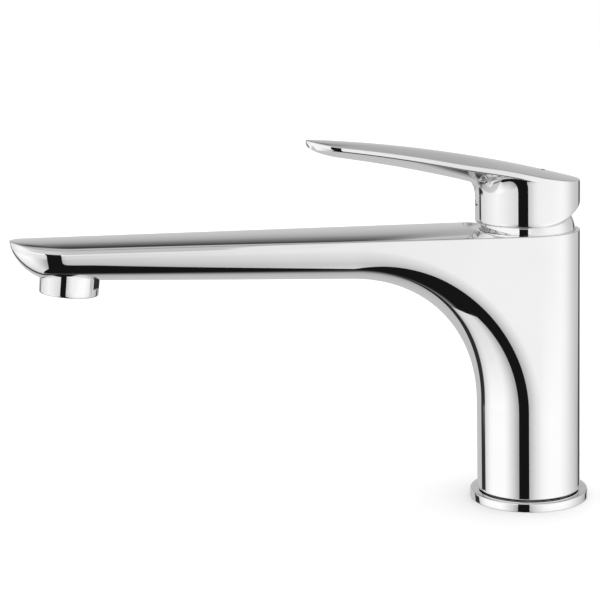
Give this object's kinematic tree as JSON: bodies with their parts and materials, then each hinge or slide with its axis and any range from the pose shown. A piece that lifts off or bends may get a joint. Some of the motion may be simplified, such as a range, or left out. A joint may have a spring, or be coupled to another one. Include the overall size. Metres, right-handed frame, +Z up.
{
  "type": "bathroom mixer faucet",
  "caption": "Single-lever bathroom mixer faucet: round column on a base ring, long low cast spout with a tilted outlet, and a slim lever handle over a dome.",
  "frame": {"origin": "centre of the underside of the base ring, on the deck surface", "axes": "+Z up along the column, -Y towards the tip of the spout and of the lever, +X across the spout"},
  "size_m": [0.0572, 0.2739, 0.1797],
  "materials": {
    "chrome": "polished chrome plate on brass or zinc",
    "brass": "machined, unplated",
    "steel": "stainless, turned",
    "rubber": "moulded, matt",
    "white_plastic": "moulded acetal, white",
    "dark_plastic": "moulded, dark grey",
    "ceramic": "lapped alumina"
  },
  "bodies": {
    "base": {"base_ring": "chrome", "base_gasket": "rubber", "base_spigot": "brass", "swivel_washer": "white_plastic", "lower_bush": "white_plastic", "upper_bush": "white_plastic", "swivel_o_ring": "rubber", "retaining_clip": "steel"},
    "body": {"mixer_body": "chrome", "swivel_stop_screw": "steel", "cartridge_base": "dark_plastic", "port_seal": "rubber", "fixed_ceramic_disc": "ceramic", "cartridge_housing": "dark_plastic", "temperature_stop": "white_plastic", "cartridge_nut": "brass", "dome_cap": "chrome", "dome_o_ring": "rubber", "aerator_housing": "chrome", "aerator_insert": "dark_plastic", "aerator_screen": "steel", "aerator_gasket": "rubber"},
    "rotor": {"cartridge_rotor": "dark_plastic", "pivot_pin": "steel"},
    "lever": {"lever_stem": "brass", "handle": "chrome", "handle_screw": "steel", "screw_plug": "white_plastic", "index_dot": "dark_plastic"},
    "slider": {"disc_driver": "dark_plastic", "moving_ceramic_disc": "ceramic"}
  },
  "joints": [
    {"name": "spout_swivel", "type": "hinge", "parent": "base", "child": "body", "pos_m": [0, 0, 0.03], "axis": [0, 0, 1], "range_deg": [-60, 60]},
    {"name": "lever_turn", "type": "hinge", "parent": "body", "child": "rotor", "pos_m": [0, 0, 0.124], "axis": [0, 0, 1], "range_deg": [-50, 50]},
    {"name": "lever_lift", "type": "hinge", "parent": "rotor", "child": "lever", "pos_m": [0, 0, 0.124], "axis": [-1, 0, 0], "range_deg": [0, 22]},
    {"name": "disc_slide", "type": "slide", "parent": "rotor", "child": "slider", "axis": [0, -1, 0], "range_m": [0, 0.0038]}
  ],
  "couplings": [
    {"joint": "disc_slide", "follows": "lever_lift", "m_per_rad": 0.0096}
  ]
}
